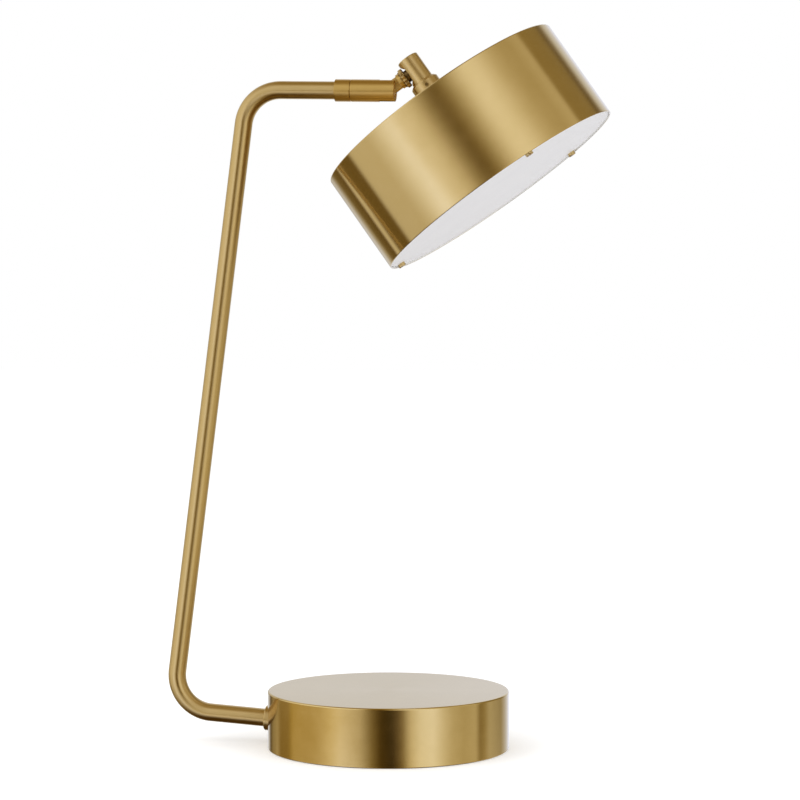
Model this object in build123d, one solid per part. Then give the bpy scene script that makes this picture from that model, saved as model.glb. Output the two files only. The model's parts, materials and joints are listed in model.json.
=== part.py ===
from build123d import *
import os
from math import atan2, cos, degrees, radians, sin, sqrt, tan

# A brass table lamp with a drum shade. A bent tube leans up from the side of a round weighted base
# and carries the shade on a swivel barrel, which rolls about the arm, and a knuckle, which tilts in it.
# Millimetres, +Z up. The origin is the centre of the base where it meets the table. The stem and the
# arm lie in the XZ plane, with the shade towards +X.

# Clearances
fit_gap = 0.05          # round a part that is held in a bore
run_gap = 0.05          # beside a part that turns or slides
loose_gap = 0.3         # round a part that only lies in its place

# Base
base_d = 167.0
base_h = 40.0
shell_wall = 2.0
shell_edge = 1.2        # rounding of the shell's top edge
shell_lift = 0.3        # the shell's lower edge above the table
pad_t = 2.0
pad_inset = 5.0         # the pad's edge inside the plate's edge
plate_t = 1.5
weight_h = 18.0
weight_gap = 2.5
boss_d = 18.0           # post under the shell's top that the centre bolt pulls on
bolt_d = 8.0
bolt_head_d = 13.0
bolt_head_h = 8.0
bolt_socket = 6.0
bolt_socket_depth = 4.0
bolt_grip = 12.0        # thread of the bolt in the post
bolt_room = 1.0         # beyond the bolt's end
plate_screw_d = 4.0
plate_screw_head_d = 7.6
plate_screw_head_h = 1.4
plate_screw_len = 10.0
plate_screw_socket = 2.0
plate_screw_in = 17.5   # from the base's side to a screw
plate_screw_count = 4
plate_screw_angle = 45.0        # degrees, of the first from the arm's plane
cord_d = 6.2            # bore for a mains cord, which is not fitted
cord_z = 13.0
bushing_wall = 1.9
bushing_flange_d = 13.6
bushing_flange_t = 2.0
bushing_round = 0.7
bushing_len = 12.0      # inside the shell
bushing_side = 1.2      # room beside the bushing in its trench

# Things inside the base
pocket_w = 34.0         # room in the weight round the tube's nut
block_l = 18.0
block_w = 20.0
block_in = 33.5         # from the base's side to the face that the lead enters
block_wire_d = 3.0
block_wire_places = (5.4, 12.6)     # from that face
driver_l = 50.0
driver_w = 34.0
driver_h = 13.0
driver_gap = 1.5        # from the post to the driver's tab
driver_tab = 6.0
driver_tab_w = 12.0
driver_tab_t = 2.0
driver_edge = 2.0       # rounding of its upright edges
driver_screw_d = 3.0
driver_screw_head_d = 5.5
driver_screw_head_h = 1.8
driver_screw_len = 8.0

# Bent tube
tube_d = 12.4
tube_wall = 1.0
bend_r = 26.0           # on the tube's axis
entry_z = 18.0          # where the tube's axis meets the base's side
foot_slope = 4.0        # degrees, down towards the base
stem_lean = 7.2         # degrees from upright
arm_slope = 1.3         # degrees, down towards the shade
foot_run = 70.3         # from the base to the lower corner of the tube's axis
stem_run = 436.4        # between the corners
arm_run = 98.7          # from the upper corner to the tilt pin

# Tube's seat in the base
flange_d = 17.4
flange_t = 4.8
flange_round = 1.0
seat_skin = 0.2         # how far the spot face goes below the least it needs
seat_pad_d = 26.0       # thickening inside the shell
seat_pad_t = 5.5
nipple_wall = 1.4
nipple_grip = 14.0      # inside the tube
nipple_past = 2.0       # beyond the nut
nut_flats = 14.0
nut_t = 5.0
washer_t = 1.2
washer_rim = 4.0        # width of a plain washer's ring
lead_d = 5.0
lead_play = 0.1
sleeve_flange_d = 9.4
sleeve_flange_t = 1.0
sleeve_len = 8.0

# Swivel about the arm
swivel_d = 15.4
collar_len = 10.8
barrel_len = 30.9
barrel_reach = 5.2      # the barrel's end beyond the tilt pin
swivel_seam = 0.2
swivel_edge = 0.4
tube_socket = 7.0
barrel_wall = 1.5
barrel_bore_len = 14.0
spindle_d = 8.0
spindle_in_tube = 4.3
spindle_head_d = 11.2
spindle_head_t = 2.0
spring_t = 0.6
spring_rise = 0.9
brake_t = 1.0           # friction washer
bush_len = 8.2
stop_d = 1.0
stop_reach = 1.2
stop_wall = 0.65        # bush left under the stop's track
stop_side = 0.1
stop_lug_angle = 24.0
slot_floor = 6.0        # from the tilt pin to the floor of the barrel's slot

# Tilt knuckle
head_tilt = 35.3        # degrees between the shade's axis and straight down
tongue_d = 9.3
tongue_t = 5.0
tilt_washer_t = 0.5
pin_d = 4.0
pin_skin = 1.5          # metal left in the front ear beyond the blind hole
pin_sink = 0.7
pin_socket = 2.0
tongue_len = 10.0
shoulder_d = 11.0
shoulder_t = 2.0
star_d = 11.8
star_t = 0.9
star_teeth = 12
star_notch = 1.2
disc_d = 14.4
disc_t = 3.0
disc_edge = 0.8
hub_d = 8.8
hub_len = 2.4
stud_d = 6.0
stud_past = 4.5         # beyond the neck's axis
wire_d = 2.6            # wire way in the stud

# Neck and its collar
neck_d = 15.4
neck_spot_d = 15.2
neck_spot_depth = 2.5
neck_top = 10.0         # above the stud
neck_bottom = 9.3       # below the stud
neck_edge = 0.8
neck_bore_d = 4.0
spigot_d = 11.0
spigot_len = 11.7
collar_d = 20.6
collar_h = 20.2
collar_edge = 1.5
grub_d = 2.5
grub_drop = 4.7         # below the collar's top
grub_sink = 0.5
grub_clock = -82.0      # degrees from the stud's line, towards the front
grub_socket = 1.3

# Shade and light
shade_d = 183.2
shade_h = 72.4
shade_wall = 1.0
shade_edge = 0.8
shade_nipple_d = 10.0
shade_nipple_up = 5.5   # inside the collar
led_plate_d = 140.0
led_plate_t = 2.0
board_d = 112.0
board_hole_d = 40.0
board_t = 1.6
led_size = 5.0
led_t = 1.2
led_inner_edge = 12.0   # from the board's hole to the inner ring of emitters
led_outer_edge = 8.0    # from the board's outside to the outer ring
led_inner_count = 8
led_outer_count = 16
led_inner_angle = 37.5  # degrees, so that the connector stands between two
board_screw_d = 3.0
board_screw_head_d = 5.5
board_screw_head_h = 1.8
board_screw_in = 3.0     # from the board's hole to a screw
board_screw_count = 3
connector_size = 9.0
connector_h = 14.0
connector_x = 22.0      # face that the lead enters, from the shade's axis
connector_up = 3.5      # from its lower end to the lead
head_lead_d = 2.4
head_lead_bend = 4.0

# Diffuser and what holds it
diffuser_t = 3.0
diffuser_inset = 0.9    # its face inside the shade's rim
bracket_w = 9.0
bracket_l = 8.5
bracket_h = 12.0
screw_d = 3.0
screw_head_d = 5.4
screw_head_h = 2.4
screw_head_edge = 0.3
screw_slot_w = 0.8
screw_slot_depth = 0.9
screw_in = 5.0          # from the shade's side to a screw
screw_count = 3
screw_clock = 53.0      # degrees from the arm's plane to the first
screw_len = 9.0


def rod(d, z0, z1):
    return Pos(0, 0, (z0 + z1) / 2) * Cylinder(d / 2, abs(z1 - z0))


def ring(d, hole_d, z0, z1):
    return rod(d, z0, z1) - rod(hole_d, z0, z1)


def hexagon(flats, z0, z1):
    outline = RegularPolygon(flats / 2, 6, major_radius=False)
    return extrude(Pos(0, 0, min(z0, z1)) * outline, abs(z1 - z0))


def block(x0, x1, width, z0, z1):
    return Pos((x0 + x1) / 2, 0, (z0 + z1) / 2) * Box(x1 - x0, width, z1 - z0)


def lying(shape):
    """The same shape with its Z axis along +X."""
    return Rot(0, 90, 0) * shape


def edges_at(shape, d, z):
    """Round edges of diameter d at height z."""
    found = []
    for edge in shape.edges().filter_by(GeomType.CIRCLE):
        if abs(edge.radius - d / 2) < 1e-3 and abs(edge.arc_center.Z - z) < 1e-3:
            found.append(edge)
    return found


def around(count, d, start=0.0):
    """Places on a circle of diameter d, each turned to face outwards."""
    return [Rot(0, 0, start + 360 / count * i) * Pos(d / 2, 0, 0) for i in range(count)]


def copies(shape, places):
    return Compound(children=[place * shape for place in places])


# Heights and places in the base
plate_z = pad_t
weight_z = plate_z + plate_t
weight_top = weight_z + weight_h
shell_in_d = base_d - 2 * shell_wall
shell_ceiling = base_h - shell_wall
plate_d = shell_in_d - 2 * loose_gap
weight_d = shell_in_d - 2 * weight_gap
plate_screw_places = around(plate_screw_count, base_d - 2 * plate_screw_in, plate_screw_angle)
driver_x = boss_d / 2 + driver_gap + driver_tab
block_x = block_in - base_d / 2

# The tube's axis, corner by corner
foot_dir = Vector(-cos(radians(foot_slope)), 0, sin(radians(foot_slope)))
stem_dir = Vector(sin(radians(stem_lean)), 0, cos(radians(stem_lean)))
arm_dir = Vector(cos(radians(arm_slope)), 0, -sin(radians(arm_slope)))
entry = Vector(-base_d / 2, 0, entry_z)
lower_corner = entry + foot_dir * foot_run
upper_corner = lower_corner + stem_dir * stem_run
pivot = upper_corner + arm_dir * arm_run

# Foot frame: origin where the tube's axis meets the base's side, Z outwards along the tube.
# Arm frame: origin on the tilt pin, Z along the arm towards the shade, X along the pin, Y up.
# Head frame: origin on the tilt pin, Z along the neck, X along the stud.
foot_frame = Plane(origin=entry, x_dir=(0, 1, 0), z_dir=foot_dir).location
arm_frame = Plane(origin=pivot, x_dir=(0, 1, 0), z_dir=arm_dir).location
head_frame = Pos(pivot) * Rot(0, -head_tilt, 0)

# Foot frame stations, from the seat inwards
sagitta = base_d / 2 - sqrt((base_d / 2) ** 2 - (flange_d / 2) ** 2)
seat_z = -(sagitta + flange_d / 2 * tan(radians(foot_slope)) + seat_skin)
pad_face_z = seat_z - seat_pad_t
washer_face_z = pad_face_z - washer_t
nut_face_z = washer_face_z - nut_t
nipple_end_z = nut_face_z - nipple_past
tube_bore = tube_d - 2 * tube_wall
nipple_d = tube_bore - 2 * fit_gap
nipple_bore = nipple_d - 2 * nipple_wall

# Arm frame stations
barrel_z0 = barrel_reach - barrel_len
collar_z1 = barrel_z0 - swivel_seam
collar_z0 = collar_z1 - collar_len
tube_end_z = collar_z0 + tube_socket
barrel_floor_z = barrel_z0 + barrel_bore_len
barrel_bore = swivel_d - 2 * barrel_wall
bush_z1 = barrel_z0 + bush_len
brake_z1 = bush_z1 + brake_t
spring_z1 = brake_z1 + spring_t + spring_rise
spindle_z1 = spring_z1 + spindle_head_t
spindle_bore = lead_d + 2 * lead_play
bush_bore = spindle_d + 2 * run_gap
bush_d = barrel_bore - 2 * fit_gap
slot_w = tongue_t + 2 * (tilt_washer_t + run_gap)
stop_track_d = bush_bore + 2 * stop_wall
stop_ring_r = stop_track_d / 2 + stop_side + stop_d / 2
stop_floor_z = barrel_z0 + stop_reach + stop_side

# Head frame stations, along the stud and then down the neck
shoulder_x = tongue_len
star_x = shoulder_x + shoulder_t
disc_x = star_x + star_t
hub_x = disc_x + disc_t
spot_x = hub_x + hub_len
neck_x = spot_x + neck_d / 2 - neck_spot_depth
stud_end_x = neck_x + stud_past
collar_top = -neck_bottom
shade_top = collar_top - collar_h
shade_rim = shade_top - shade_h
plate_top = shade_top - shade_wall
plate_bottom = plate_top - led_plate_t
board_bottom = plate_bottom - board_t
shade_washer_z = plate_bottom - washer_t
shade_nut_z = shade_washer_z - nut_t
shade_nipple_z = shade_nut_z - nipple_past
shade_in_d = shade_d - 2 * shade_wall
diffuser_face = shade_rim + diffuser_inset
diffuser_back = diffuser_face + diffuser_t
shade_nipple_bore = shade_nipple_d - 2 * nipple_wall
nipple_hole = shade_nipple_d + 2 * fit_gap
neck_axis = Pos(neck_x, 0, 0)
board_screw_places = around(board_screw_count, board_hole_d + 2 * board_screw_in)
screw_ring_d = shade_d - 2 * screw_in
screw_places = around(screw_count, screw_ring_d, screw_clock)


def make_base_shell():
    outside = rod(base_d, shell_lift, base_h)
    outside = fillet(edges_at(outside, base_d, base_h), shell_edge)
    shell = outside - rod(shell_in_d, shell_lift, shell_ceiling)
    shell += rod(boss_d, weight_top, shell_ceiling)
    shell -= rod(bolt_d + 2 * fit_gap, weight_top, weight_top + bolt_grip + bolt_room)
    # thickening behind the tube's seat, kept inside the shell's outline
    inside = rod(shell_in_d + shell_wall, weight_z + loose_gap, shell_ceiling + shell_wall / 2)
    shell += (foot_frame * rod(seat_pad_d, pad_face_z, 0)) & inside
    shell -= foot_frame * rod(flange_d + 2 * fit_gap, seat_z, flange_t + flange_d)
    shell -= foot_frame * rod(nipple_d + 2 * fit_gap, pad_face_z - seat_pad_t, flange_t)
    # flat and hole for the cord's bushing
    rear = Pos(0, 0, cord_z) * Rot(-90, 0, 0)
    flat = base_d / 2 - bushing_seat_depth()
    shell -= rear * rod(bushing_flange_d + 2 * fit_gap, flat, base_d / 2 + bushing_flange_t)
    shell -= rear * rod(bushing_d() + 2 * fit_gap, base_d / 2 - 2 * shell_wall, base_d / 2)
    return shell


def bushing_d():
    return cord_d + 2 * bushing_wall


def bushing_seat_depth():
    r = base_d / 2
    return r - sqrt(r ** 2 - (bushing_flange_d / 2) ** 2) + seat_skin


def make_base_weight():
    weight = rod(weight_d, weight_z, weight_top)
    weight -= rod(bolt_d + 2 * loose_gap, weight_z, weight_top)
    weight -= rod(bolt_head_d + 2 * loose_gap, weight_z, weight_z + bolt_head_h + loose_gap)
    weight -= block(-base_d, block_x + block_l + loose_gap, pocket_w, weight_z, weight_top)
    # trench for the wires, from the pocket to the cord's bushing
    trench_w = bushing_d() + 2 * bushing_side
    trench_floor = cord_z - trench_w / 2
    along = sqrt(block_x ** 2 + (base_d / 2) ** 2)
    turn = degrees(atan2(base_d / 2, -block_x))
    trench = block(0, along, trench_w, trench_floor, weight_top)
    weight -= Pos(block_x, 0, 0) * Rot(0, 0, turn) * trench
    end_y = base_d / 2 - bushing_len - shell_wall - bushing_side
    weight -= Rot(0, 0, 90) * block(end_y, base_d / 2, trench_w, trench_floor, weight_top)
    hole = rod(plate_screw_d + 2 * fit_gap, weight_z, weight_z + plate_screw_len)
    for place in plate_screw_places:
        weight -= place * hole
    for place in driver_screw_places():
        weight -= place * rod(driver_screw_d + 2 * fit_gap, weight_top - driver_screw_len, weight_top)
    return weight


def make_base_plate():
    plate = rod(plate_d, plate_z, weight_z)
    for place in plate_screw_places:
        plate -= place * rod(plate_screw_d + 2 * fit_gap, plate_z, weight_z)
    return plate


def make_foot_pad():
    pad = rod(plate_d - 2 * pad_inset, 0, pad_t)
    for place in plate_screw_places:
        pad -= place * rod(plate_screw_head_d + 2 * loose_gap, 0, pad_t)
    return pad


def make_plate_screws():
    head = rod(plate_screw_head_d, plate_z - plate_screw_head_h, plate_z)
    screw = head + rod(plate_screw_d, plate_z, weight_z + plate_screw_len - loose_gap)
    screw -= hexagon(plate_screw_socket, plate_z - plate_screw_head_h, plate_z)
    return copies(screw, plate_screw_places)


def make_centre_bolt():
    seat = weight_z + bolt_head_h + loose_gap
    bolt = rod(bolt_head_d, seat - bolt_head_h, seat)
    bolt += rod(bolt_d, seat, weight_top + bolt_grip)
    return bolt - hexagon(bolt_socket, seat - bolt_head_h, seat - bolt_head_h + bolt_socket_depth)


def make_cord_bushing():
    rear = Pos(0, 0, cord_z) * Rot(-90, 0, 0)
    seat = base_d / 2 - bushing_seat_depth()
    bushing = rod(bushing_flange_d, seat, seat + bushing_flange_t)
    bushing = fillet(edges_at(bushing, bushing_flange_d, seat + bushing_flange_t), bushing_round)
    inner = base_d / 2 - shell_wall - bushing_len
    bushing += rod(bushing_d(), inner, seat)
    bushing -= rod(cord_d, inner, seat + bushing_flange_t)
    return rear * bushing


def make_terminal_block():
    body = block(block_x, block_x + block_l, block_w, weight_z, weight_top)
    for side in (-1, 1):
        for reach in block_wire_places:
            spot = Pos(block_x + reach, side * block_w / 4, 0)
            body -= spot * rod(block_wire_d, weight_top - block_wire_d, weight_top)
    return body


def driver_screw_places():
    reach = (driver_l + driver_tab) / 2
    middle = driver_x + driver_l / 2
    return [Pos(middle + side * reach, 0, 0) for side in (-1, 1)]


def make_led_driver():
    body = block(driver_x, driver_x + driver_l, driver_w, weight_top, weight_top + driver_h)
    body = fillet(body.edges().filter_by(Axis.Z), driver_edge)
    body += block(driver_x - driver_tab, driver_x + driver_l + driver_tab, driver_tab_w,
                  weight_top, weight_top + driver_tab_t)
    for place in driver_screw_places():
        body -= place * rod(driver_screw_d + 2 * fit_gap, weight_top, weight_top + driver_tab_t)
    return body


def make_driver_screws():
    seat = weight_top + driver_tab_t
    screw = rod(driver_screw_d, weight_top - driver_screw_len + loose_gap, seat)
    screw += rod(driver_screw_head_d, seat, seat + driver_screw_head_h)
    return copies(screw, driver_screw_places())


def tube_axis(start, end):
    """The bent axis of the stem, from a point on the foot to a point on the arm."""
    return FilletPolyline(start, lower_corner, upper_corner, end, radius=bend_r)


def make_stem_tube():
    start = entry + foot_dir * seat_z
    path = tube_axis(start, pivot + arm_dir * tube_end_z)
    section = Plane(origin=start, z_dir=foot_dir) * (Circle(tube_d / 2) - Circle(tube_bore / 2))
    return sweep(section, path=path)


def make_stem_lead():
    start = entry - foot_dir * ((block_x + base_d / 2) / cos(radians(foot_slope)) - loose_gap)
    path = tube_axis(start, pivot + arm_dir * spindle_z1)
    return sweep(Plane(origin=start, z_dir=foot_dir) * Circle(lead_d / 2), path=path)


def make_stem_flange():
    flange = ring(flange_d, tube_d + 2 * fit_gap, seat_z, seat_z + flange_t)
    flange = fillet(edges_at(flange, flange_d, seat_z + flange_t), flange_round)
    return foot_frame * flange


def make_stem_nipple():
    return foot_frame * ring(nipple_d, nipple_bore, nipple_end_z, seat_z + nipple_grip)


def make_stem_washer():
    hole = nipple_d + 2 * fit_gap
    return foot_frame * ring(hole + 2 * washer_rim, hole, washer_face_z, pad_face_z)


def make_stem_nut():
    nut = hexagon(nut_flats, nut_face_z, washer_face_z)
    return foot_frame * (nut - rod(nipple_d + 2 * fit_gap, nut_face_z, washer_face_z))


def make_lead_bushing():
    bore = lead_d + 2 * lead_play
    sleeve = ring(nipple_bore - 2 * fit_gap, bore, nipple_end_z, nipple_end_z + sleeve_len)
    sleeve += ring(sleeve_flange_d, bore, nipple_end_z - sleeve_flange_t, nipple_end_z)
    return foot_frame * sleeve


def stop_place():
    return Pos(0, stop_ring_r, 0)


def make_swivel_collar():
    collar = ring(swivel_d, spindle_d + 2 * fit_gap, collar_z0, collar_z1)
    collar -= rod(tube_d + 2 * fit_gap, collar_z0, tube_end_z)
    ends = edges_at(collar, swivel_d, collar_z0) + edges_at(collar, swivel_d, collar_z1)
    collar = chamfer(ends, swivel_edge)
    collar -= stop_place() * rod(stop_d, tube_end_z, collar_z1)
    return arm_frame * collar


def make_swivel_stop_pin():
    return arm_frame * stop_place() * rod(stop_d, tube_end_z, barrel_z0 + stop_reach)


def make_swivel_spindle():
    spindle = rod(spindle_d, tube_end_z - spindle_in_tube, spring_z1)
    spindle += rod(spindle_head_d, spring_z1, spindle_z1)
    return arm_frame * (spindle - rod(spindle_bore, tube_end_z - spindle_in_tube, spindle_z1))


def make_disc_spring():
    inner = bush_bore / 2
    outer = spindle_head_d / 2
    profile = Polyline((inner, 0, brake_z1 + spring_rise), (outer, 0, brake_z1),
                       (outer, 0, brake_z1 + spring_t), (inner, 0, spring_z1), close=True)
    return arm_frame * revolve(make_face(profile), Axis.Z)


def make_friction_washer():
    return arm_frame * ring(bush_d, bush_bore, bush_z1, brake_z1)


def make_swivel_bush():
    bush = ring(bush_d, bush_bore, barrel_z0, bush_z1)
    track = ring(bush_d, stop_track_d, barrel_z0, stop_floor_z)
    lug = Pos(0, 0, barrel_z0) * extrude(stop_lug_outline(), stop_floor_z - barrel_z0)
    return arm_frame * (bush - (track - lug))


def stop_lug_outline():
    """A wedge under the arm that the stop pin runs against at either end of the roll."""
    half = radians(stop_lug_angle / 2)
    reach = barrel_bore
    left = (-reach * sin(half), -reach * cos(half))
    right = (reach * sin(half), -reach * cos(half))
    return make_face(Polyline((0, 0), left, right, close=True))


def make_swivel_barrel():
    barrel = rod(swivel_d, barrel_z0, barrel_reach)
    ends = edges_at(barrel, swivel_d, barrel_z0) + edges_at(barrel, swivel_d, barrel_reach)
    barrel = chamfer(ends, swivel_edge)
    barrel -= rod(barrel_bore, barrel_z0, barrel_floor_z)
    barrel -= rod(spindle_bore, barrel_floor_z, 0)
    barrel -= block(-slot_w / 2, slot_w / 2, 2 * swivel_d, -slot_floor, barrel_reach)
    barrel -= lying(rod(pin_d + 2 * fit_gap, pin_skin - swivel_d / 2, swivel_d))
    return arm_frame * barrel


def make_tilt_pin():
    end = swivel_d / 2 - pin_sink
    pin = rod(pin_d, pin_skin - swivel_d / 2, end)
    pin -= hexagon(pin_socket, end - pin_socket, end)
    return arm_frame * lying(pin)


def make_tilt_washers():
    inner = tongue_t / 2 + run_gap / 2
    washer = ring(tongue_d, pin_d + 2 * fit_gap, inner, inner + tilt_washer_t)
    return arm_frame * Compound(children=[lying(washer), Rot(0, 0, 180) * lying(washer)])


def make_knuckle():
    bar = lying(rod(tongue_d, -tongue_d, tongue_len))
    eye = Rot(90, 0, 0) * rod(tongue_d, -tongue_t / 2, tongue_t / 2)
    blade = block(0, tongue_len, tongue_t, -tongue_d, tongue_d)
    body = bar & (eye + blade)
    body += lying(rod(shoulder_d, shoulder_x, star_x))
    body += lying(rod(stud_d, star_x, stud_end_x))
    body -= Rot(90, 0, 0) * rod(pin_d + 2 * run_gap, -tongue_t, tongue_t)
    # wire way: up through the tongue, along the stud and down into the neck
    way_x = pin_d / 2 + wire_d
    body -= Pos(way_x, 0, 0) * rod(wire_d, -tongue_d, 0)
    body -= lying(rod(wire_d, way_x, neck_x))
    body -= Pos(neck_x, 0, 0) * rod(wire_d, -stud_d, 0)
    return head_frame * body


def make_star_washer():
    washer = ring(star_d, stud_d + 2 * fit_gap, star_x, disc_x)
    notch = block(0, star_notch, star_notch, star_x, disc_x)
    for place in around(star_teeth, star_d - 2 * star_notch):
        washer -= place * notch
    return head_frame * lying(washer)


def make_lock_disc():
    disc = rod(disc_d, disc_x, hub_x)
    disc = chamfer(edges_at(disc, disc_d, disc_x) + edges_at(disc, disc_d, hub_x), disc_edge)
    disc += rod(hub_d, hub_x, spot_x)
    disc -= rod(stud_d + 2 * fit_gap, disc_x, spot_x)
    return head_frame * lying(disc)


def make_neck():
    neck = rod(neck_d, -neck_bottom, neck_top)
    neck = fillet(edges_at(neck, neck_d, neck_top), neck_edge)
    neck += rod(spigot_d, -neck_bottom - spigot_len, -neck_bottom)
    neck -= rod(neck_bore_d, -neck_bottom - spigot_len, 0)
    neck = neck_axis * neck
    neck -= lying(rod(neck_spot_d, 0, spot_x))
    neck -= lying(rod(stud_d + 2 * fit_gap, 0, stud_end_x + loose_gap))
    return head_frame * neck


def grub_place():
    return neck_axis * Pos(0, 0, collar_top - grub_drop) * Rot(0, 0, grub_clock)


def make_neck_collar():
    collar = rod(collar_d, shade_top, collar_top)
    collar = chamfer(edges_at(collar, collar_d, collar_top), collar_edge)
    collar -= rod(nipple_hole, shade_top, collar_top)
    collar -= rod(spigot_d + 2 * fit_gap, collar_top - spigot_len - loose_gap, collar_top)
    collar = neck_axis * collar
    collar -= grub_place() * lying(rod(grub_d + 2 * fit_gap, 0, collar_d))
    return head_frame * collar


def make_collar_grub_screw():
    end = collar_d / 2 - grub_sink
    screw = rod(grub_d, spigot_d / 2, end)
    screw -= hexagon(grub_socket, end - grub_socket, end)
    return head_frame * grub_place() * lying(screw)


def make_shade_drum():
    drum = rod(shade_d, shade_rim, shade_top)
    drum = fillet(edges_at(drum, shade_d, shade_top), shade_edge)
    drum -= rod(shade_in_d, shade_rim, plate_top)
    drum -= rod(nipple_hole, plate_top, shade_top)
    return head_frame * neck_axis * drum


def make_shade_nipple():
    return head_frame * neck_axis * ring(shade_nipple_d, shade_nipple_bore, shade_nipple_z,
                                         shade_top + shade_nipple_up)


def make_led_plate():
    plate = ring(led_plate_d, nipple_hole, plate_bottom, plate_top)
    for place in board_screw_places:
        plate -= place * rod(board_screw_d + 2 * fit_gap, plate_bottom, plate_top)
    return head_frame * neck_axis * plate


def make_shade_washer():
    washer_d = nipple_hole + 2 * washer_rim
    return head_frame * neck_axis * ring(washer_d, nipple_hole, shade_washer_z, plate_bottom)


def make_shade_nut():
    nut = hexagon(nut_flats, shade_nut_z, shade_washer_z)
    return head_frame * neck_axis * (nut - rod(nipple_hole, shade_nut_z, shade_washer_z))


def make_led_board():
    board = ring(board_d, board_hole_d, board_bottom, plate_bottom)
    for place in board_screw_places:
        board -= place * rod(board_screw_d + 2 * fit_gap, board_bottom, plate_bottom)
    return head_frame * neck_axis * board


def make_led_emitters():
    chip = block(-led_size / 2, led_size / 2, led_size, board_bottom - led_t, board_bottom)
    inner = around(led_inner_count, board_hole_d + 2 * led_inner_edge, led_inner_angle)
    outer = around(led_outer_count, board_d - 2 * led_outer_edge)
    return head_frame * neck_axis * copies(chip, inner + outer)


def make_board_screws():
    screw = rod(board_screw_d, board_bottom, plate_top - loose_gap)
    screw += rod(board_screw_head_d, board_bottom - board_screw_head_h, board_bottom)
    return head_frame * neck_axis * copies(screw, board_screw_places)


def connector_turn():
    """The connector stands between two of the board's screws."""
    return Rot(0, 0, 180 / board_screw_count)


def make_board_connector():
    body = block(connector_x, connector_x + connector_size, connector_size,
                 board_bottom - connector_h, board_bottom)
    return head_frame * neck_axis * connector_turn() * body


def make_head_lead():
    turn_z = board_bottom - connector_h + connector_up
    start = (0, 0, -stud_d / 2 - loose_gap)
    path = FilletPolyline(start, (0, 0, turn_z), (connector_x, 0, turn_z), radius=head_lead_bend)
    lead = sweep(Plane(origin=start, z_dir=(0, 0, -1)) * Circle(head_lead_d / 2), path=path)
    return head_frame * neck_axis * connector_turn() * lead


def make_diffuser():
    disc = rod(shade_in_d - 2 * loose_gap, diffuser_face, diffuser_back)
    for place in screw_places:
        disc -= place * rod(screw_d + 2 * loose_gap, diffuser_face, diffuser_back)
    return head_frame * neck_axis * disc


def make_diffuser_brackets():
    inner = screw_ring_d / 2 - bracket_l / 2
    bar = block(inner, shade_d, bracket_w, diffuser_back, diffuser_back + bracket_h)
    bar &= rod(shade_in_d - 2 * fit_gap, diffuser_back, diffuser_back + bracket_h)
    hole = rod(screw_d + 2 * fit_gap, diffuser_back, diffuser_back + bracket_h)
    bar -= Pos(screw_ring_d / 2, 0, 0) * hole
    turns = [Rot(0, 0, screw_clock + 360 / screw_count * i) for i in range(screw_count)]
    return head_frame * neck_axis * copies(bar, turns)


def make_diffuser_screws():
    head_z = diffuser_face - screw_head_h
    head = rod(screw_head_d, head_z, diffuser_face)
    head = chamfer(edges_at(head, screw_head_d, head_z), screw_head_edge)
    head -= block(-screw_head_d, screw_head_d, screw_slot_w, head_z, head_z + screw_slot_depth)
    screw = head + rod(screw_d, diffuser_face, diffuser_face + screw_len)
    return head_frame * neck_axis * copies(screw, screw_places)


nodes = {
    "base_shell": make_base_shell,
    "base_weight": make_base_weight,
    "base_plate": make_base_plate,
    "foot_pad": make_foot_pad,
    "plate_screws": make_plate_screws,
    "centre_bolt": make_centre_bolt,
    "cord_bushing": make_cord_bushing,
    "terminal_block": make_terminal_block,
    "led_driver": make_led_driver,
    "driver_screws": make_driver_screws,
    "stem_tube": make_stem_tube,
    "stem_lead": make_stem_lead,
    "stem_flange": make_stem_flange,
    "stem_nipple": make_stem_nipple,
    "stem_washer": make_stem_washer,
    "stem_nut": make_stem_nut,
    "lead_bushing": make_lead_bushing,
    "swivel_collar": make_swivel_collar,
    "swivel_stop_pin": make_swivel_stop_pin,
    "swivel_spindle": make_swivel_spindle,
    "disc_spring": make_disc_spring,
    "friction_washer": make_friction_washer,
    "swivel_bush": make_swivel_bush,
    "swivel_barrel": make_swivel_barrel,
    "tilt_pin": make_tilt_pin,
    "tilt_washers": make_tilt_washers,
    "knuckle": make_knuckle,
    "star_washer": make_star_washer,
    "lock_disc": make_lock_disc,
    "neck": make_neck,
    "neck_collar": make_neck_collar,
    "collar_grub_screw": make_collar_grub_screw,
    "shade_drum": make_shade_drum,
    "shade_nipple": make_shade_nipple,
    "shade_washer": make_shade_washer,
    "shade_nut": make_shade_nut,
    "led_plate": make_led_plate,
    "led_board": make_led_board,
    "led_emitters": make_led_emitters,
    "board_screws": make_board_screws,
    "board_connector": make_board_connector,
    "head_lead": make_head_lead,
    "diffuser": make_diffuser,
    "diffuser_brackets": make_diffuser_brackets,
    "diffuser_screws": make_diffuser_screws,
}

os.makedirs("parts", exist_ok=True)
for name, make in nodes.items():
    export_step(make(), f"parts/{name}.step")
print("tilt pin at", [round(v, 3) for v in pivot], "arm direction", [round(v, 5) for v in arm_dir])
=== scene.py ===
import json
from math import atan2, cos, hypot, pi, radians, sin, tan

import bmesh
import bpy
from mathutils import Matrix, Vector


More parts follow.
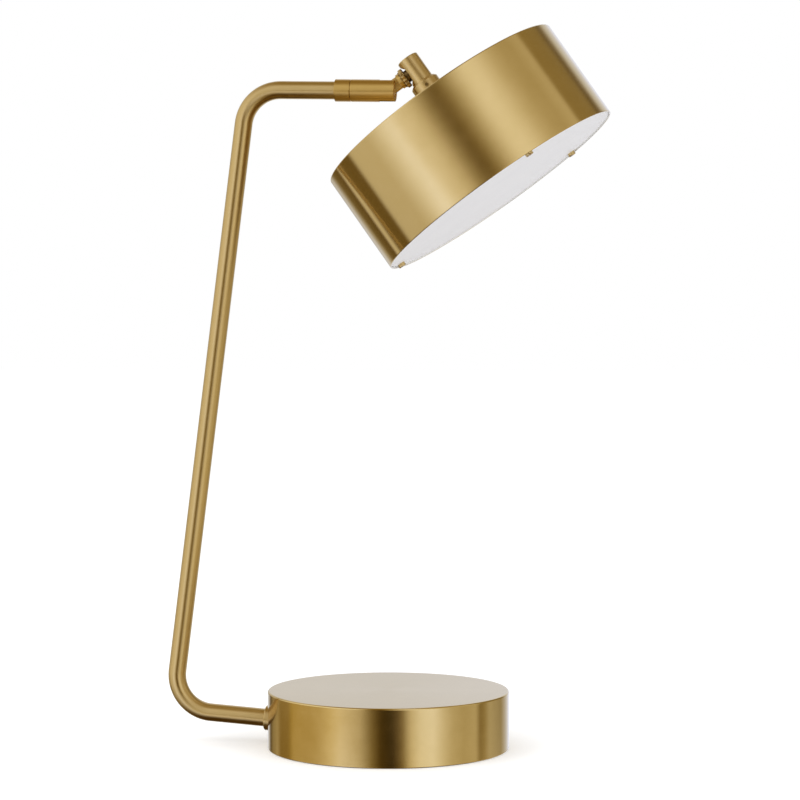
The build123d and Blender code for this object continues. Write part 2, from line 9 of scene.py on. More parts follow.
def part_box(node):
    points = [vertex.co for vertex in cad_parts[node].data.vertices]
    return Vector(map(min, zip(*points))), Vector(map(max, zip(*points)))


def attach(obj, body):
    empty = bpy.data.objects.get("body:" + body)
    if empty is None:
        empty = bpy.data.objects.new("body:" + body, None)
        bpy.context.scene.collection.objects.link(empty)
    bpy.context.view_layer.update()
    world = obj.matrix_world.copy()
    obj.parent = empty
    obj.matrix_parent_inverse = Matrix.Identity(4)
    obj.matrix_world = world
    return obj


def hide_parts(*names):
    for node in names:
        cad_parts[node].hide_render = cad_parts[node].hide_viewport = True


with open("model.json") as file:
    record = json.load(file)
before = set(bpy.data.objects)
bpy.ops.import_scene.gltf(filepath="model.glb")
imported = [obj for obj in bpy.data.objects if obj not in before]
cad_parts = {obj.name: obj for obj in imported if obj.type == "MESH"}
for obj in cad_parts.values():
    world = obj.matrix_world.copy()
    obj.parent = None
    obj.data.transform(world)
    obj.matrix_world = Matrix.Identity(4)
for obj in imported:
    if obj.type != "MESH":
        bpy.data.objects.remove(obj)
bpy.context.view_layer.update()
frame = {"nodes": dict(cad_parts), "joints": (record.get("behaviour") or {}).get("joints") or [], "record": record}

nodes = frame["nodes"]
joints = {joint["name"]: joint for joint in frame["joints"]}
mm = 0.001
print("frame loaded,", len(nodes), "nodes")

# Places that every piece shares. The stem and the arm lie in the XZ plane.
lamp = {
    "headTilt": 35.3,       # degrees between the shade's axis and straight down
    "neckReach": 23.5,      # from the tilt pin to the neck's axis
    "footSlope": 4.0,       # degrees, down towards the base
    "stemLean": 7.2,        # degrees from upright
    "entryHeight": 18.0,    # of the tube where it meets the base
}
sideways = Vector((0, 1, 0))
pivot = Vector(joints["head_tilt"]["pos_m"])
armWay = Vector(joints["swivel_roll"]["axis"]).normalized()
footWay = Vector((-cos(radians(lamp["footSlope"])), 0, sin(radians(lamp["footSlope"]))))
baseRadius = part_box("base_shell")[1].x
tubeEntry = Vector((-baseRadius, 0, lamp["entryHeight"] * mm))


def placeAlong(origin, way):
    # local Z runs along way, local X is sideways
    up = way.cross(sideways)
    return Matrix.Translation(origin) @ Matrix((sideways, up, way)).transposed().to_4x4()


basePlace = Matrix.Identity(4)
footPlace = placeAlong(tubeEntry, footWay)
armPlace = placeAlong(pivot, armWay)
headPlace = Matrix.Translation(pivot) @ Matrix.Rotation(-radians(lamp["headTilt"]), 4, "Y")
neckPlace = headPlace @ Matrix.Translation((lamp["neckReach"] * mm, 0, 0))
studPlace = headPlace @ Matrix.Rotation(pi / 2, 4, "Y")     # local Z along the stud


def spanOf(node, place):
    # a node's reach along the place's Z axis and its largest radius about it, in millimetres
    back = place.inverted()
    points = [back @ v.co for v in nodes[node].data.vertices]
    heights = [p.z / mm for p in points]
    return min(heights), max(heights), max(hypot(p.x, p.y) for p in points) / mm


# ---- materials

def blankMaterial(name):
    material = bpy.data.materials.new(name)
    material.use_nodes = True
    tree = material.node_tree
    tree.nodes.clear()
    output = tree.nodes.new("ShaderNodeOutputMaterial")
    shader = tree.nodes.new("ShaderNodeBsdfPrincipled")
    tree.links.new(shader.outputs["BSDF"], output.inputs["Surface"])
    return material, tree, shader


def mathNode(tree, operation, first, second=None):
    node = tree.nodes.new("ShaderNodeMath")
    node.operation = operation
    for socket, value in zip(node.inputs, (first, second)):
        if isinstance(value, (int, float)):
            socket.default_value = value
        elif value is not None:
            tree.links.new(value, socket)
    return node.outputs[0]


grain = {
    "detail": 4.0, "roughness": 0.55, "brassRoughness": 0.6,
    "mostly": (0.3, 0.7),   # where nearly all of a noise's values lie
}


def noiseOf(tree, vector, scale, roughness=grain["roughness"]):
    noise = tree.nodes.new("ShaderNodeTexNoise")
    noise.inputs["Scale"].default_value = scale
    noise.inputs["Detail"].default_value = grain["detail"]
    noise.inputs["Roughness"].default_value = roughness
    tree.links.new(vector, noise.inputs["Vector"])
    return noise.outputs["Fac"]


def objectPoint(tree):
    return tree.nodes.new("ShaderNodeTexCoord").outputs["Object"]


def spread(tree, factor, low, high, given=grain["mostly"]):
    # maps the given range onto low to high
    node = tree.nodes.new("ShaderNodeMapRange")
    node.inputs["From Min"].default_value = given[0]
    node.inputs["From Max"].default_value = given[1]
    node.inputs["To Min"].default_value = low
    node.inputs["To Max"].default_value = high
    tree.links.new(factor, node.inputs["Value"])
    return node.outputs["Result"]


def twoTone(tree, factor, first, second):
    ramp = tree.nodes.new("ShaderNodeValToRGB")
    stops = zip(ramp.color_ramp.elements, grain["mostly"], (first, second))
    for element, position, colour in stops:
        element.position = position
        element.color = (*colour, 1)
    tree.links.new(factor, ramp.inputs["Fac"])
    return ramp.outputs["Color"]


def bumpOf(tree, height, strength, depth):
    bump = tree.nodes.new("ShaderNodeBump")
    bump.inputs["Strength"].default_value = strength
    bump.inputs["Distance"].default_value = depth * mm
    tree.links.new(height, bump.inputs["Height"])
    return bump.outputs["Normal"]


def brushLines(tree, fineness, length):
    # strokes that run round a turned piece: the brush map's U is metres along its profile, V turns
    uvNode = tree.nodes.new("ShaderNodeUVMap")
    uvNode.uv_map = "brush"
    split = tree.nodes.new("ShaderNodeSeparateXYZ")
    tree.links.new(uvNode.outputs["UV"], split.inputs["Vector"])
    angle = mathNode(tree, "MULTIPLY", split.outputs["Y"], 2 * pi)
    join = tree.nodes.new("ShaderNodeCombineXYZ")
    tree.links.new(mathNode(tree, "MULTIPLY", split.outputs["X"], fineness), join.inputs["X"])
    for socket, wave in (("Y", "COSINE"), ("Z", "SINE")):
        across = mathNode(tree, wave, angle)
        tree.links.new(mathNode(tree, "MULTIPLY", across, length), join.inputs[socket])
    return noiseOf(tree, join.outputs["Vector"], 1.0, grain["brassRoughness"])


def brushedBrass(name, look):
    material, tree, shader = blankMaterial(name)
    strokes = brushLines(tree, look["fineness"], look["strokes"])
    clouds = noiseOf(tree, objectPoint(tree), look["cloudScale"], grain["brassRoughness"])
    both = mathNode(tree, "ADD", mathNode(tree, "MULTIPLY", strokes, look["strokeShare"]),
                    mathNode(tree, "MULTIPLY", clouds, look["cloudShare"]))
    tree.links.new(twoTone(tree, both, look["deep"], look["pale"]), shader.inputs["Base Color"])
    tree.links.new(spread(tree, both, look["smooth"], look["rough"]), shader.inputs["Roughness"])
    tree.links.new(bumpOf(tree, strokes, look["bump"], look["bumpDepth"]), shader.inputs["Normal"])
    tangent = tree.nodes.new("ShaderNodeTangent")
    tangent.direction_type = "UV_MAP"
    tangent.uv_map = "brush"
    tree.links.new(tangent.outputs["Tangent"], shader.inputs["Tangent"])
    shader.inputs["Metallic"].default_value = 1.0
    shader.inputs["Anisotropic"].default_value = look["stretch"]
    return material


def plainFinish(name, look):
    material, tree, shader = blankMaterial(name)
    clouds = noiseOf(tree, objectPoint(tree), look["grain"])
    tree.links.new(twoTone(tree, clouds, look["dark"], look["light"]), shader.inputs["Base Color"])
    tree.links.new(spread(tree, clouds, look["smooth"], look["rough"]), shader.inputs["Roughness"])
    tree.links.new(bumpOf(tree, clouds, look["bump"], look["bumpDepth"]), shader.inputs["Normal"])
    shader.inputs["Metallic"].default_value = look.get("metal", 0.0)
    return material


# the tube, its flange, the neck and its collar; the other brushed pieces change a few of these
brassLook = {
    "pale": (0.735, 0.54, 0.245), "deep": (0.67, 0.488, 0.203),
    "smooth": 0.35, "rough": 0.39, "stretch": 0.98,
    "fineness": 9000.0, "strokes": 3.0, "cloudScale": 70.0, "strokeShare": 0.45, "cloudShare": 0.55,
    "bump": 0.08, "bumpDepth": 0.02,
}
# painted shade and reflection: the swivel and knuckle get a darker, more orange copy of the brass, for the dimmer,
# brass-tinted light around the joint
jointShadedLook = {**brassLook, "pale": (0.73, 0.49, 0.155), "deep": (0.66, 0.435, 0.13),
             "smooth": 0.36, "rough": 0.40}
shadeLook = {**brassLook, "pale": (0.69, 0.515, 0.235), "deep": (0.63, 0.465, 0.195),
             "smooth": 0.17, "rough": 0.20}
baseLook = {**shadeLook, "smooth": 0.12, "rough": 0.15, "stretch": 0.6, "bump": 0.05}
satinBrass = brushedBrass("satinBrass", brassLook)
jointShadedBrass = brushedBrass("satinBrassJointShaded", jointShadedLook)
shadeBrass = brushedBrass("satinBrassShade", shadeLook)
baseBrass = brushedBrass("satinBrassBase", baseLook)
# painted shade: near-black brass for the neck's recess and the hub that turns in it, standing in for the shade
# there
recessShadeBrass = plainFinish("recessShadeBrass", {
    "dark": (0.10, 0.06, 0.02), "light": (0.22, 0.14, 0.05), "smooth": 0.3, "rough": 0.45,
    "grain": 900.0, "bump": 0.15, "bumpDepth": 0.03, "metal": 1.0})
# a darker brass for the lock disc's rim and the star washer
darkerBrass = plainFinish("darkerBrass", {
    "dark": (0.34, 0.22, 0.075), "light": (0.54, 0.38, 0.155), "smooth": 0.25, "rough": 0.38,
    "grain": 900.0, "bump": 0.12, "bumpDepth": 0.02, "metal": 1.0})
bronzedSteel = plainFinish("bronzedSteel", {
    "dark": (0.30, 0.20, 0.075), "light": (0.44, 0.31, 0.125), "smooth": 0.3, "rough": 0.45,
    "grain": 900.0, "bump": 0.12, "bumpDepth": 0.02, "metal": 1.0})
turnedBrass = plainFinish("turnedBrass", {
    "dark": (0.60, 0.44, 0.19), "light": (0.72, 0.55, 0.27), "smooth": 0.18, "rough": 0.3,
    "grain": 700.0, "bump": 0.1, "bumpDepth": 0.02, "metal": 1.0})
opalWhite = plainFinish("opalWhite", {
    "dark": (0.835, 0.82, 0.82), "light": (0.865, 0.85, 0.85), "smooth": 0.42, "rough": 0.46,
    "grain": 60.0, "bump": 0.0, "bumpDepth": 0.02})
enamelWhite = plainFinish("enamelWhite", {
    "dark": (0.83, 0.83, 0.82), "light": (0.88, 0.88, 0.875), "smooth": 0.3, "rough": 0.42,
    "grain": 1400.0, "bump": 0.2, "bumpDepth": 0.02})
padRubber = plainFinish("padRubber", {
    "dark": (0.018, 0.018, 0.018), "light": (0.035, 0.034, 0.033), "smooth": 0.75, "rough": 0.95,
    "grain": 2500.0, "bump": 0.5, "bumpDepth": 0.1})
blackNylon = plainFinish("blackNylon", {
    "dark": (0.02, 0.02, 0.02), "light": (0.035, 0.035, 0.035), "smooth": 0.4, "rough": 0.55,
    "grain": 1500.0, "bump": 0.25, "bumpDepth": 0.03})
paleNylon = plainFinish("paleNylon", {
    "dark": (0.70, 0.70, 0.67), "light": (0.78, 0.78, 0.75), "smooth": 0.4, "rough": 0.55,
    "grain": 900.0, "bump": 0.2, "bumpDepth": 0.03})
brakeFibre = plainFinish("brakeFibre", {
    "dark": (0.16, 0.12, 0.07), "light": (0.30, 0.23, 0.14), "smooth": 0.8, "rough": 0.95,
    "grain": 3000.0, "bump": 0.6, "bumpDepth": 0.05})
leadSheath = plainFinish("leadSheath", {
    "dark": (0.68, 0.67, 0.63), "light": (0.76, 0.75, 0.72), "smooth": 0.35, "rough": 0.5,
    "grain": 500.0, "bump": 0.1, "bumpDepth": 0.03})
zincSteel = plainFinish("zincSteel", {
    "dark": (0.42, 0.42, 0.43), "light": (0.60, 0.60, 0.61), "smooth": 0.25, "rough": 0.42,
    "grain": 600.0, "bump": 0.12, "bumpDepth": 0.02, "metal": 1.0})
castIron = plainFinish("castIron", {
    "dark": (0.045, 0.045, 0.048), "light": (0.10, 0.10, 0.105), "smooth": 0.6, "rough": 0.85,
    "grain": 1200.0, "bump": 0.7, "bumpDepth": 0.3, "metal": 0.6})
sheetAluminium = plainFinish("sheetAluminium", {
    "dark": (0.70, 0.71, 0.72), "light": (0.82, 0.83, 0.84), "smooth": 0.28, "rough": 0.42,
    "grain": 400.0, "bump": 0.12, "bumpDepth": 0.02, "metal": 1.0})
boardMask = plainFinish("boardMask", {
    "dark": (0.80, 0.80, 0.78), "light": (0.88, 0.88, 0.86), "smooth": 0.3, "rough": 0.45,
    "grain": 800.0, "bump": 0.1, "bumpDepth": 0.02})
phosphor = plainFinish("phosphor", {
    "dark": (0.80, 0.66, 0.22), "light": (0.90, 0.76, 0.34), "smooth": 0.2, "rough": 0.35,
    "grain": 1800.0, "bump": 0.1, "bumpDepth": 0.02})

# what each CAD node wears that no piece below replaces, by the record's slot
slotFinish = {
    "satin_brass": turnedBrass, "turned_brass": turnedBrass, "iron": castIron, "steel": zincSteel,
    "pad": padRubber, "black_plastic": blackNylon, "pale_plastic": paleNylon, "brake": brakeFibre,
    "lead": leadSheath, "heat_sink": sheetAluminium, "board": boardMask, "emitter": phosphor,
    "diffuser": opalWhite,
}
for part in frame["record"]["subparts"]:
    for slot in nodes[part["node"]].material_slots:
        slot.material = slotFinish[part["material_slot"]]
nodes["collar_grub_screw"].material_slots[0].material = bronzedSteel
print("materials made:", len(bpy.data.materials))


# ---- how the pieces are made

making = {
    "turnedMerge": 1e-7, "cadMerge": 2e-6,              # metres between doubles
    "axis": 1e-6,                                       # metres, nearer the axis no turn is read
    "flat": 0.5, "cadEdge": 26, "smoothUnder": 30,      # degrees between faces
}


def turned(profile, rounds, steps, segments=5):
    # spins a profile of (radius, height) in millimetres round Z; rounds are (corner, radius).
    # A profile that starts on the axis is open there, any other is a ring.
    bm = bmesh.new()
    corners = [bm.verts.new((r * mm, 0, z * mm)) for r, z in profile]
    following = corners[1:] if profile[0][0] == 0 else corners[1:] + corners[:1]
    for first, second in zip(corners, following):
        bm.edges.new((first, second))
    for corner, radius in rounds:
        bmesh.ops.bevel(bm, geom=[corners[corner]], offset=radius * mm, offset_type="OFFSET",
                        segments=segments, profile=0.5, affect="VERTICES", material=-1)
    bmesh.ops.spin(bm, geom=bm.verts[:] + bm.edges[:], cent=(0, 0, 0), axis=(0, 0, 1),
                   angle=2 * pi, steps=steps, use_merge=True, use_duplicate=False)
    bmesh.ops.remove_doubles(bm, verts=bm.verts[:], dist=making["turnedMerge"])
    bmesh.ops.recalc_face_normals(bm, faces=bm.faces[:])
    return bm


def softened(node, width):
    # a merged copy of a node's mesh, with its edges broken as a file would break them
    bm = bmesh.new()
    bm.from_mesh(nodes[node].data)
    bmesh.ops.remove_doubles(bm, verts=bm.verts[:], dist=making["cadMerge"])
    bmesh.ops.dissolve_limit(bm, angle_limit=radians(making["flat"]), verts=bm.verts[:],
                             edges=bm.edges[:])
    sharp = radians(making["cadEdge"])
    edges = [edge for edge in bm.edges if edge.is_manifold and edge.calc_face_angle() > sharp]
    bmesh.ops.bevel(bm, geom=edges, offset=width * mm, offset_type="OFFSET", segments=2,
                    profile=0.5, affect="EDGES", clamp_overlap=True, material=-1)
    return bm


def rodOf(radius, low, high, place, sides=64):
    # a solid rod along the place's Z axis, in millimetres
    bm = bmesh.new()
    bmesh.ops.create_cone(bm, cap_ends=True, segments=sides, radius1=radius * mm,
                          radius2=radius * mm, depth=(high - low) * mm)
    bm.transform(place @ Matrix.Translation((0, 0, (high + low) / 2 * mm)))
    return bm


def cutFrom(bm, cutters):
    # takes each cutter away and gives back the mesh that is left
    parts = []
    for shape in [bm] + cutters:
        mesh = bpy.data.meshes.new("cutPart")
        shape.to_mesh(mesh)
        shape.free()
        parts.append(bpy.data.objects.new("cutPart", mesh))
        bpy.context.scene.collection.objects.link(parts[-1])
    for cutter in parts[1:]:
        cut = parts[0].modifiers.new("cut", "BOOLEAN")
        cut.operation = "DIFFERENCE"
        cut.solver = "EXACT"
        cut.object = cutter
    left = bmesh.new()
    left.from_object(parts[0], bpy.context.evaluated_depsgraph_get())
    for part in parts:
        mesh = part.data
        bpy.data.objects.remove(part)
        bpy.data.meshes.remove(mesh)
    return left


def brushMap(bm, place=basePlace):
    # U follows the profile of a turned piece, V goes round it
    back = place.inverted()
    layer = bm.loops.layers.uv.new("brush")
    for face in bm.faces:
        middle = back @ face.calc_center_median()
        around = atan2(middle.y, middle.x) / (2 * pi)
        for loop in face.loops:
            point = back @ loop.vert.co
            radius = hypot(point.x, point.y)
            turns = atan2(point.y, point.x) / (2 * pi) if radius > making["axis"] else around
            turns = (turns - around + 0.5) % 1 + around - 0.5
            loop[layer].uv = (radius - point.z, turns)


def addPiece(name, bm, body, materials, replaced):
    mesh = bpy.data.meshes.new(name)
    bm.to_mesh(mesh)
    bm.free()
    mesh.polygons.foreach_set("use_smooth", [True] * len(mesh.polygons))
    mesh.set_sharp_from_angle(angle=radians(making["smoothUnder"]))
    piece = bpy.data.objects.new(name, mesh)
    bpy.context.scene.collection.objects.link(piece)
    for material in materials:
        mesh.materials.append(material)
    faceNormals = piece.modifiers.new("faceNormals", "WEIGHTED_NORMAL")
    faceNormals.keep_sharp = True
    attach(piece, body)
    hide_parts(*replaced)


def addTurned(name, profile, rounds, steps, place, body, node, material):
    bm = turned(profile, rounds, steps)
    brushMap(bm)
    bm.transform(place)
    addPiece(name, bm, body, [material], [node])


def addSoftened(name, node, width, place, body, material):
    bm = softened(node, width)
    brushMap(bm, place)
    addPiece(name, bm, body, [material], [node])


# ---- base

base = {
    "wall": 2.0, "topRound": 1.2, "rimRound": 0.6, "sides": 256,
    "support": 6.0,         # from the rim to a ring of points that keeps the top's faces narrow
    "seatDepth": 0.477, "bushingHole": 5.05, "nippleHole": 5.05,
    "play": 0.05, "beyond": 4.0,    # how much wider and longer a cutter is than what it clears
}
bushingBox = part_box("cord_bushing")
cordHeight = (bushingBox[0].z + bushingBox[1].z) / 2
# local Z points to the rear
cordPlace = Matrix.Translation((0, 0, cordHeight)) @ Matrix.Rotation(-pi / 2, 4, "X")


def makeBase():
    low, high, radius = spanOf("base_shell", basePlace)
    inner = radius - base["wall"]
    ceiling = high - base["wall"]
    support = radius - base["support"]
    profile = [(0, high), (support, high), (radius, high), (radius, low), (inner, low),
               (inner, ceiling), (0, ceiling)]
    rounds = [(2, base["topRound"]), (3, base["rimRound"]), (4, base["rimRound"])]
    bm = turned(profile, rounds, base["sides"])
    seat, flangeTop, flangeRadius = spanOf("stem_flange", footPlace)
    cordEnd, cordTop, cordRadius = spanOf("cord_bushing", cordPlace)
    play, beyond = base["play"], base["beyond"]
    bm = cutFrom(bm, [
        rodOf(flangeRadius + play, seat, flangeTop + beyond, footPlace),
        rodOf(base["nippleHole"], seat - beyond, seat + beyond, footPlace),
        rodOf(cordRadius + play, radius - base["seatDepth"], cordTop + beyond, cordPlace),
        rodOf(base["bushingHole"], cordEnd, cordTop, cordPlace)])
    brushMap(bm)
    addPiece("baseShell", bm, "stand", [baseBrass], ["base_shell"])


makeBase()
print("base made")


# ---- bent tube and its flange

tube = {
    "wall": 1.0, "bend": 26.0, "bendSteps": 28, "runSteps": 10, "sides": 72,
    "footRun": 70.3, "stemRun": 436.4,      # to the lower corner, and from there to the upper one
    "armEnd": 60.0,                         # length of arm that the tube's radius is read from
    "hole": 6.25, "socketDepth": 7.0,       # of the flange and the collar that it goes into
    "flangeEdge": 0.3, "flangeRound": 1.0, "flangeSides": 96,
}


def tubeLegs():
    # (length, start, heading, curl) of each straight run and bend; headings turn from +X to +Z
    startZ = spanOf("stem_flange", footPlace)[0]
    start = footPlace @ Vector((0, 0, startZ * mm))
    endZ = spanOf("swivel_collar", armPlace)[0] + tube["socketDepth"]
    end = armPlace @ Vector((0, 0, endZ * mm))
    headings = [pi - radians(lamp["footSlope"]), pi / 2 - radians(lamp["stemLean"]),
                atan2(armWay.z, armWay.x)]
    ways = [Vector((cos(h), 0, sin(h))) for h in headings]
    # where the centre lines of the runs would meet
    lower = tubeEntry + ways[0] * tube["footRun"] * mm
    upper = lower + ways[1] * tube["stemRun"] * mm
    bend = tube["bend"] * mm
    turnLow, turnHigh = headings[0] - headings[1], headings[1] - headings[2]
    cutLow, cutHigh = bend * tan(turnLow / 2), bend * tan(turnHigh / 2)
    return [
        ((lower - start).length - cutLow, start, headings[0], 0),
        (bend * turnLow, lower - ways[0] * cutLow, headings[0], -1 / bend),
        ((upper - lower).length - cutLow - cutHigh, lower + ways[1] * cutLow, headings[1], 0),
        (bend * turnHigh, upper - ways[1] * cutHigh, headings[1], -1 / bend),
        ((end - upper).length - cutHigh, upper + ways[2] * cutHigh, headings[2], 0),
    ]


def placeOnLegs(legs, run):
    # the place at a distance along the tube, with local Z along it
    for leg in legs:
        length, start, heading, curl = leg
        if run <= length or leg is legs[-1]:
            break
        run -= length
    turnedTo = heading + curl * run
    if curl:
        shift = Vector((sin(turnedTo) - sin(heading), 0, cos(heading) - cos(turnedTo))) / curl
    else:
        shift = Vector((cos(heading), 0, sin(heading))) * run
    return placeAlong(start + shift, Vector((cos(turnedTo), 0, sin(turnedTo))))


def makeTube():
    legs = tubeLegs()
    stations = [0.0]
    for length, _, _, curl in legs:
        steps = tube["bendSteps"] if curl else tube["runSteps"]
        stations += [stations[-1] + length * (i + 1) / steps for i in range(steps)]
    back = armPlace.inverted()
    arm = [back @ v.co for v in nodes["stem_tube"].data.vertices]
    radius = max(hypot(p.x, p.y) for p in arm if p.z > -tube["armEnd"] * mm) / mm
    bore = radius - tube["wall"]
    outside = [(radius, s / mm) for s in stations]
    inside = [(bore, s / mm) for s in reversed(stations)]
    bm = turned(outside + inside, (), tube["sides"])
    brushMap(bm)
    # the straight tube is laid along its legs
    for vert in bm.verts:
        vert.co = placeOnLegs(legs, vert.co.z) @ Vector((vert.co.x, vert.co.y, 0))
    bmesh.ops.recalc_face_normals(bm, faces=bm.faces[:])
    addPiece("stemTube", bm, "stand", [satinBrass], ["stem_tube"])


def makeFlange():
    low, high, radius = spanOf("stem_flange", footPlace)
    hole, edge = tube["hole"], tube["flangeEdge"]
    profile = [(hole, low), (radius, low), (radius, high), (hole, high)]
    rounds = [(1, edge), (2, tube["flangeRound"]), (3, edge)]
    addTurned("stemFlange", profile, rounds, tube["flangeSides"], footPlace, "stand",
              "stem_flange", satinBrass)


makeTube()
makeFlange()
print("tube made")


# ---- swivel and knuckle

joint = {
    "edge": 0.4, "mouthEdge": 0.2, "brokenEdge": 0.15, "washerEdge": 0.08,
    "bore": 4.05, "collarSides": 120,
    "teeth": 16, "toothDepth": 0.7, "toothZone": 0.9, "toothSteps": 6,
    "discHole": 3.05, "discEdge": 0.8, "discSegments": 3, "hubRadius": 4.4, "hubHeight": 2.4,
    "seam": 0.05,           # how far under the hub's foot its painted shade begins
}


def makeSwivel():
    low, high, radius = spanOf("swivel_collar", armPlace)
    hole, bore, step = tube["hole"], joint["bore"], low + tube["socketDepth"]
    profile = [(hole, low), (radius, low), (radius, high), (bore, high), (bore, step), (hole, step)]
    rounds = [(0, joint["mouthEdge"]), (1, joint["edge"]), (2, joint["edge"])]
    addTurned("swivelCollar", profile, rounds, joint["collarSides"], armPlace, "stand",
              "swivel_collar", jointShadedBrass)
    broken = joint["brokenEdge"]
    addSoftened("swivelBarrel", "swivel_barrel", broken, armPlace, "swivel", jointShadedBrass)
    addSoftened("knuckleTongue", "knuckle", broken, studPlace, "head", jointShadedBrass)
    addSoftened("starWasher", "star_washer", joint["washerEdge"], studPlace, "head", darkerBrass)


def makeLockDisc():
    low, high, radius = spanOf("lock_disc", studPlace)
    hub = high - joint["hubHeight"]
    hole, hubRadius, edge = joint["discHole"], joint["hubRadius"], joint["discEdge"]
    profile = [(hole, low), (radius, low), (radius, hub), (hubRadius, hub), (hubRadius, high),
               (hole, high)]
    steps = joint["teeth"] * joint["toothSteps"]
    bm = turned(profile, [(1, edge), (2, edge)], steps, joint["discSegments"])
    # the rim is cut into teeth
    for vert in bm.verts:
        reach = hypot(vert.co.x, vert.co.y)
        if reach > (radius - joint["toothZone"]) * mm:
            wave = cos(atan2(vert.co.y, vert.co.x) * joint["teeth"])
            vert.co.xy *= 1 - joint["toothDepth"] * mm / reach * (0.5 - 0.5 * wave)
    # the hub, which turns in the neck's recess, wears painted shade
    for face in bm.faces:
        face.material_index = 1 if face.calc_center_median().z > (hub - joint["seam"]) * mm else 0
    brushMap(bm)
    bm.transform(studPlace)
    addPiece("lockDisc", bm, "head", [darkerBrass, recessShadeBrass], ["lock_disc"])


makeSwivel()
makeLockDisc()
print("swivel made")


# ---- neck and collar

neck = {"brokenEdge": 0.15, "recessRadius": 7.55, "recessPlay": 0.1}
collar = {
    "chamfer": 1.5, "edge": 0.25, "socket": 5.55, "socketDepth": 12.0, "bore": 5.05, "sides": 160,
    "grubHole": 1.3, "grubSides": 40,
    "inside": 0.5, "beyond": 2.0,   # how far the cutter of the screw's hole reaches past the wall
}


def makeNeck():
    bm = softened("neck", neck["brokenEdge"])
    # painted shade: the recess that the hub turns in is made dark where shade falls
    back = studPlace.inverted()
    recess = spanOf("lock_disc", studPlace)[1] + neck["recessPlay"]
    for face in bm.faces:
        middle = back @ face.calc_center_median()
        near = hypot(middle.x, middle.y) < neck["recessRadius"] * mm
        face.material_index = 1 if near and middle.z < recess * mm else 0
    brushMap(bm, neckPlace)
    addPiece("neckPost", bm, "head", [satinBrass, recessShadeBrass], ["neck"])


def makeCollar():
    low, high, radius = spanOf("neck_collar", neckPlace)
    chamfer, socket, bore = collar["chamfer"], collar["socket"], collar["bore"]
    step = high - collar["socketDepth"]
    profile = [(socket, high), (radius - chamfer, high), (radius, high - chamfer), (radius, low),
               (bore, low), (bore, step), (socket, step)]
    bm = turned(profile, [(corner, collar["edge"]) for corner in range(4)], collar["sides"])
    back = neckPlace.inverted()
    screw = [back @ v.co for v in nodes["collar_grub_screw"].data.vertices]
    middle = sum(screw, Vector()) / len(screw)
    outward = Vector((middle.x, middle.y, 0)).normalized()
    facing = outward.to_track_quat("Z", "Y").to_matrix().to_4x4()
    hole = Matrix.Translation((0, 0, middle.z)) @ facing
    cutLow, cutHigh = socket - collar["inside"], radius + collar["beyond"]
    bm = cutFrom(bm, [rodOf(collar["grubHole"], cutLow, cutHigh, hole, collar["grubSides"])])
    brushMap(bm)
    bm.transform(neckPlace)
    addPiece("neckCollar", bm, "head", [satinBrass], ["neck_collar"])


makeNeck()
makeCollar()
print("neck made")


# ---- shade

shade = {
    "wall": 1.0, "topRound": 0.8, "rimRound": 0.5, "insideRound": 0.15, "hole": 5.05, "sides": 256,
    "support": 6.0,
    "linedSide": 0.9, "linedTop": 0.5,      # where in the wall's thickness the white lining begins
}
diffuser = {"edge": 0.4, "border": 3.0, "sides": 200, "screwEdge": 0.12}


def makeShade():
    low, high, radius = spanOf("shade_drum", neckPlace)
    wall = shade["wall"]
    hole, support = shade["hole"], radius - shade["support"]
    profile = [(hole, high), (support, high), (radius, high), (radius, low), (radius - wall, low),
               (radius - wall, high - wall), (hole, high - wall)]
    rounds = [(2, shade["topRound"]), (3, shade["rimRound"]), (4, shade["insideRound"])]
    bm = turned(profile, rounds, shade["sides"])
    for face in bm.faces:
        middle = face.calc_center_median() / mm
        inside = hypot(middle.x, middle.y) < radius - shade["linedSide"] * wall
        lined = inside and low + shade["insideRound"] < middle.z < high - shade["linedTop"] * wall
        face.material_index = 1 if lined else 0
    brushMap(bm)
    bm.transform(neckPlace)
    addPiece("shadeDrum", bm, "head", [shadeBrass, enamelWhite], ["shade_drum"])


def makeDiffuser():
    low, high, radius = spanOf("diffuser", neckPlace)
    border = radius - diffuser["border"]
    profile = [(0, low), (border, low), (radius, low), (radius, high), (0, high)]
    bm = turned(profile, [(2, diffuser["edge"]), (3, diffuser["edge"])], diffuser["sides"])
    brushMap(bm)
    bm.transform(neckPlace)
    addPiece("diffuserDisc", bm, "head", [opalWhite], ["diffuser"])
    addSoftened("diffuserScrews", "diffuser_screws", diffuser["screwEdge"], neckPlace, "head",
                turnedBrass)


makeShade()
makeDiffuser()
print("shade made")


# ---- studio

studio = {
    "cameraTurn": 9.008,    # degrees round the lamp from straight in front
    "cameraPlace": (0.2633, -1.6096, 0.2889), "cameraDip": 1.69, "lens": 106.3, "sensor": 36.0,
    "clip": (0.05, 60.0),
    "floorSize": 30.0, "floorColour": (0.88, 0.88, 0.88), "floorLift": 0.24,
    "ambient": 0.92,
    "warm": (1.22, 1.9),    # powers of the level that give its green and its blue
    "cast": (0.11, 0.5),    # what a cast of 1 adds to green and to blue
    # level and cast of what is overhead and underfoot
    "poleTone": (0.32, -1.1), "groundTone": (0.07, -1.2),
    # the heights of a reflected ray between which one ring gives way to the next
    "lowToMid": (-0.15, -0.07), "midToHigh": (-0.04, 0.06), "lowToDeep": (-0.175, -0.24),
    "highToPole": (0.65, 0.92), "deepToGround": (-0.48, -0.78),
    "lampAim": (0, 0, 0.25),
    # name, place, size and power of two soft lamps for the pale surfaces and the floor
    "lamps": (("softLeft", (-1.6, -1.4, 2.0), 1.6, 14.0),
              ("softRight", (1.8, -1.0, 1.6), 1.4, 9.0)),
}
